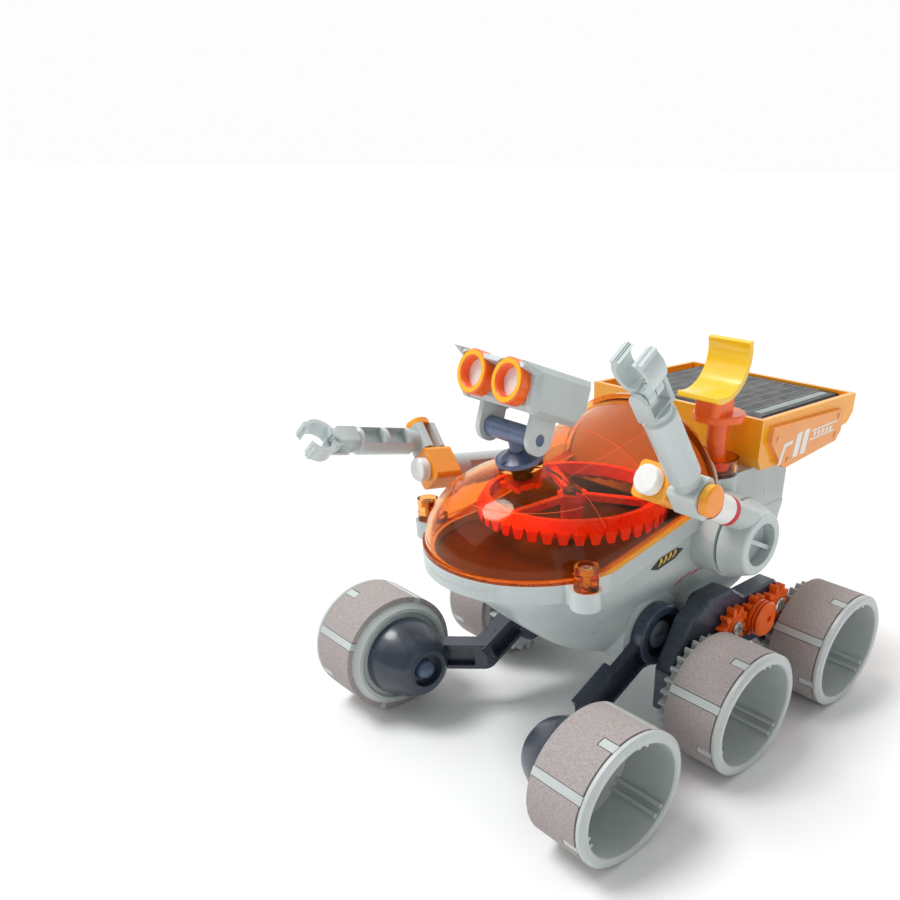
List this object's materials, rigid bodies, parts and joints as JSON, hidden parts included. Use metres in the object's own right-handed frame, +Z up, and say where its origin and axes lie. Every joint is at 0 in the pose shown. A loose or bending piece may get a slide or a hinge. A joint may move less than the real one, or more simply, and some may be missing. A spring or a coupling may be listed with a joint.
{
  "type": "solar_robot_kit",
  "caption": "Small six-wheeled solar rover toy with a clear orange canopy, goggle-eyed head, two clawed arms, side gear trains, a dish and a solar panel on an orange tray.",
  "frame": {"origin": "centre of the footprint on the ground", "axes": "+Z up, -Y forward, +X to the rover's left-hand side; the wheel axles run along X"},
  "size_m": [0.132, 0.1654, 0.1367],
  "materials": {
    "pale_plastic": "satin injection-moulded",
    "navy_plastic": "satin injection-moulded",
    "orange_plastic": "semi-gloss injection-moulded",
    "yellow_plastic": "semi-gloss injection-moulded",
    "red_plastic": "semi-gloss injection-moulded",
    "white_plastic": "semi-gloss injection-moulded",
    "clear_orange": "clear tinted moulding",
    "foam": "open-cell foam",
    "solar_cell": "cells under clear resin",
    "pin_steel": "plated wire"
  },
  "bodies": {
    "base": {"hull": "pale_plastic", "canopy": "clear_orange", "dish_cup": "clear_orange", "canopy_screws": "pin_steel", "cabin_deck": "pale_plastic", "motor": "pin_steel", "tray": "orange_plastic", "side_plates": "orange_plastic", "solar_panel": "solar_cell", "gear_case_right": "navy_plastic", "gear_case_left": "navy_plastic", "idler_pins": "pin_steel", "bogie_axles": "pin_steel", "pivot_screws": "white_plastic"},
    "front_arm_right": {"front_arm_right": "navy_plastic", "front_axle_right": "pale_plastic"},
    "wheel_front_right": {"wheel_front_right": "pale_plastic", "tread_front_right": "foam"},
    "wheel_middle_right": {"wheel_middle_right": "pale_plastic", "tread_middle_right": "foam"},
    "wheel_rear_right": {"wheel_rear_right": "pale_plastic", "tread_rear_right": "foam"},
    "idler_gear_front_right": {"idler_gear_front_right": "orange_plastic"},
    "idler_gear_rear_right": {"idler_gear_rear_right": "orange_plastic"},
    "front_arm_left": {"front_arm_left": "navy_plastic", "front_axle_left": "pale_plastic"},
    "wheel_front_left": {"wheel_front_left": "pale_plastic", "tread_front_left": "foam"},
    "wheel_middle_left": {"wheel_middle_left": "pale_plastic", "tread_middle_left": "foam"},
    "wheel_rear_left": {"wheel_rear_left": "pale_plastic", "tread_rear_left": "foam"},
    "idler_gear_front_left": {"idler_gear_front_left": "orange_plastic"},
    "idler_gear_rear_left": {"idler_gear_rear_left": "orange_plastic"},
    "drive_train": {"drive_shaft": "pin_steel", "centre_gear_right": "orange_plastic", "centre_gear_left": "orange_plastic", "drive_gear": "orange_plastic"},
    "motor_rotor": {"motor_shaft": "pin_steel", "motor_pinion": "white_plastic"},
    "crown": {"crown_gear": "red_plastic"},
    "neck": {"neck": "navy_plastic", "neck_clip": "orange_plastic"},
    "head": {"head_shell": "pale_plastic", "eye_rings": "orange_plastic", "eye_lenses": "white_plastic"},
    "dish": {"dish_post": "pale_plastic", "dish": "yellow_plastic"},
    "upper_arm_right": {"upper_arm_right": "pale_plastic", "elbow_knob_right": "white_plastic"},
    "elbow_right": {"elbow_right": "orange_plastic"},
    "forearm_right": {"forearm_right": "pale_plastic"},
    "claw_outer_right": {"claw_outer_right": "pale_plastic"},
    "claw_inner_right": {"claw_inner_right": "pale_plastic"},
    "upper_arm_left": {"upper_arm_left": "pale_plastic", "elbow_knob_left": "white_plastic"},
    "elbow_left": {"elbow_left": "orange_plastic"},
    "forearm_left": {"forearm_left": "pale_plastic"},
    "claw_outer_left": {"claw_outer_left": "pale_plastic"},
    "claw_inner_left": {"claw_inner_left": "pale_plastic"}
  },
  "joints": [
    {"name": "front_arm_right_swing", "type": "hinge", "parent": "base", "child": "front_arm_right", "pos_m": [0.026, -0.00758, 0.0374], "axis": [1, 0, 0], "range_deg": [-12, 12]},
    {"name": "wheel_front_right_spin", "type": "hinge", "parent": "front_arm_right", "child": "wheel_front_right", "pos_m": [0.05, -0.06128, 0.021], "axis": [1, 0, 0], "continuous": true},
    {"name": "wheel_middle_right_spin", "type": "hinge", "parent": "base", "child": "wheel_middle_right", "pos_m": [0.05, -0.00318, 0.021], "axis": [1, 0, 0], "continuous": true},
    {"name": "wheel_rear_right_spin", "type": "hinge", "parent": "base", "child": "wheel_rear_right", "pos_m": [0.05, 0.05492, 0.021], "axis": [1, 0, 0], "continuous": true},
    {"name": "idler_front_right_spin", "type": "hinge", "parent": "base", "child": "idler_gear_front_right", "pos_m": [0.042, 0.01337, 0.03803], "axis": [1, 0, 0], "continuous": true},
    {"name": "idler_rear_right_spin", "type": "hinge", "parent": "base", "child": "idler_gear_rear_right", "pos_m": [0.042, 0.03837, 0.03803], "axis": [1, 0, 0], "continuous": true},
    {"name": "front_arm_left_swing", "type": "hinge", "parent": "base", "child": "front_arm_left", "pos_m": [-0.026, -0.00758, 0.0374], "axis": [1, 0, 0], "range_deg": [-12, 12]},
    {"name": "wheel_front_left_spin", "type": "hinge", "parent": "front_arm_left", "child": "wheel_front_left", "pos_m": [-0.05, -0.06128, 0.021], "axis": [1, 0, 0], "continuous": true},
    {"name": "wheel_middle_left_spin", "type": "hinge", "parent": "base", "child": "wheel_middle_left", "pos_m": [-0.05, -0.00318, 0.021], "axis": [1, 0, 0], "continuous": true},
    {"name": "wheel_rear_left_spin", "type": "hinge", "parent": "base", "child": "wheel_rear_left", "pos_m": [-0.05, 0.05492, 0.021], "axis": [1, 0, 0], "continuous": true},
    {"name": "idler_front_left_spin", "type": "hinge", "parent": "base", "child": "idler_gear_front_left", "pos_m": [-0.042, 0.01337, 0.03803], "axis": [1, 0, 0], "continuous": true},
    {"name": "idler_rear_left_spin", "type": "hinge", "parent": "base", "child": "idler_gear_rear_left", "pos_m": [-0.042, 0.03837, 0.03803], "axis": [1, 0, 0], "continuous": true},
    {"name": "drive_shaft_spin", "type": "hinge", "parent": "base", "child": "drive_train", "pos_m": [0, 0.02587, 0.03803], "axis": [1, 0, 0], "continuous": true},
    {"name": "motor_spin", "type": "hinge", "parent": "base", "child": "motor_rotor", "pos_m": [0.009, 0.015, 0.04095], "axis": [1, 0, 0], "continuous": true},
    {"name": "crown_gear_spin", "type": "hinge", "parent": "base", "child": "crown", "pos_m": [0, -0.02078, 0.0765], "axis": [0, 0, 1], "continuous": true},
    {"name": "head_pan", "type": "hinge", "parent": "base", "child": "neck", "pos_m": [0, -0.04198, 0.0966], "axis": [0, -0.2079, 0.9781], "range_deg": [-60, 60]},
    {"name": "head_tilt", "type": "hinge", "parent": "neck", "child": "head", "pos_m": [0, -0.04418, 0.1048], "axis": [-1, 0, 0], "range_deg": [-35, 20]},
    {"name": "dish_pan", "type": "hinge", "parent": "base", "child": "dish", "pos_m": [0.0255, 0.01732, 0.103], "axis": [0, 0, 1], "range_deg": [-90, 90]},
    {"name": "shoulder_right", "type": "hinge", "parent": "base", "child": "upper_arm_right", "pos_m": [0.045, 0.01272, 0.0696], "axis": [-1, 0, 0], "range_deg": [-25, 44]},
    {"name": "elbow_roll_right", "type": "hinge", "parent": "upper_arm_right", "child": "elbow_right", "pos_m": [0.045, -0.03239, 0.09807], "axis": [0, -0.9003, 0.4352], "range_deg": [-30, 15]},
    {"name": "elbow_bend_right", "type": "hinge", "parent": "elbow_right", "child": "forearm_right", "pos_m": [0.045, -0.03239, 0.09807], "axis": [-1, 0, 0], "range_deg": [-49, 70]},
    {"name": "claw_outer_right_open", "type": "hinge", "parent": "forearm_right", "child": "claw_outer_right", "pos_m": [0.0551, -0.05203, 0.12643], "axis": [0, 0.8221, 0.5693], "range_deg": [-8, 35]},
    {"name": "claw_inner_right_open", "type": "hinge", "parent": "forearm_right", "child": "claw_inner_right", "pos_m": [0.0551, -0.05203, 0.12643], "axis": [0, -0.8221, -0.5693], "range_deg": [-8, 35]},
    {"name": "shoulder_left", "type": "hinge", "parent": "base", "child": "upper_arm_left", "pos_m": [-0.045, 0.01272, 0.0696], "axis": [-1, 0, 0], "range_deg": [-8, 62]},
    {"name": "elbow_roll_left", "type": "hinge", "parent": "upper_arm_left", "child": "elbow_left", "pos_m": [-0.045, -0.03893, 0.08292], "axis": [0, 0.9903, -0.1392], "range_deg": [-60, 5]},
    {"name": "elbow_bend_left", "type": "hinge", "parent": "elbow_left", "child": "forearm_left", "pos_m": [-0.045, -0.03893, 0.08292], "axis": [-0.7071, 0.0984, 0.7002], "range_deg": [-26, 40]},
    {"name": "claw_outer_left_open", "type": "hinge", "parent": "forearm_left", "child": "claw_outer_left", "pos_m": [-0.04959, -0.07156, 0.09729], "axis": [-0.7032, -0.2014, -0.6818], "range_deg": [-8, 35]},
    {"name": "claw_inner_left_open", "type": "hinge", "parent": "forearm_left", "child": "claw_inner_left", "pos_m": [-0.04959, -0.07156, 0.09729], "axis": [0.7032, 0.2014, 0.6818], "range_deg": [-8, 35]}
  ],
  "couplings": [
    {"joint": "wheel_middle_left_spin", "follows": "wheel_middle_right_spin", "ratio": 1},
    {"joint": "wheel_rear_right_spin", "follows": "wheel_middle_right_spin", "ratio": 1},
    {"joint": "wheel_rear_left_spin", "follows": "wheel_middle_right_spin", "ratio": 1},
    {"joint": "idler_front_right_spin", "follows": "wheel_middle_right_spin", "ratio": -2.8},
    {"joint": "idler_front_left_spin", "follows": "wheel_middle_right_spin", "ratio": -2.8},
    {"joint": "idler_rear_right_spin", "follows": "wheel_middle_right_spin", "ratio": -2.8},
    {"joint": "idler_rear_left_spin", "follows": "wheel_middle_right_spin", "ratio": -2.8},
    {"joint": "drive_shaft_spin", "follows": "wheel_middle_right_spin", "ratio": 2.8},
    {"joint": "motor_spin", "follows": "wheel_middle_right_spin", "ratio": -5.6}
  ]
}
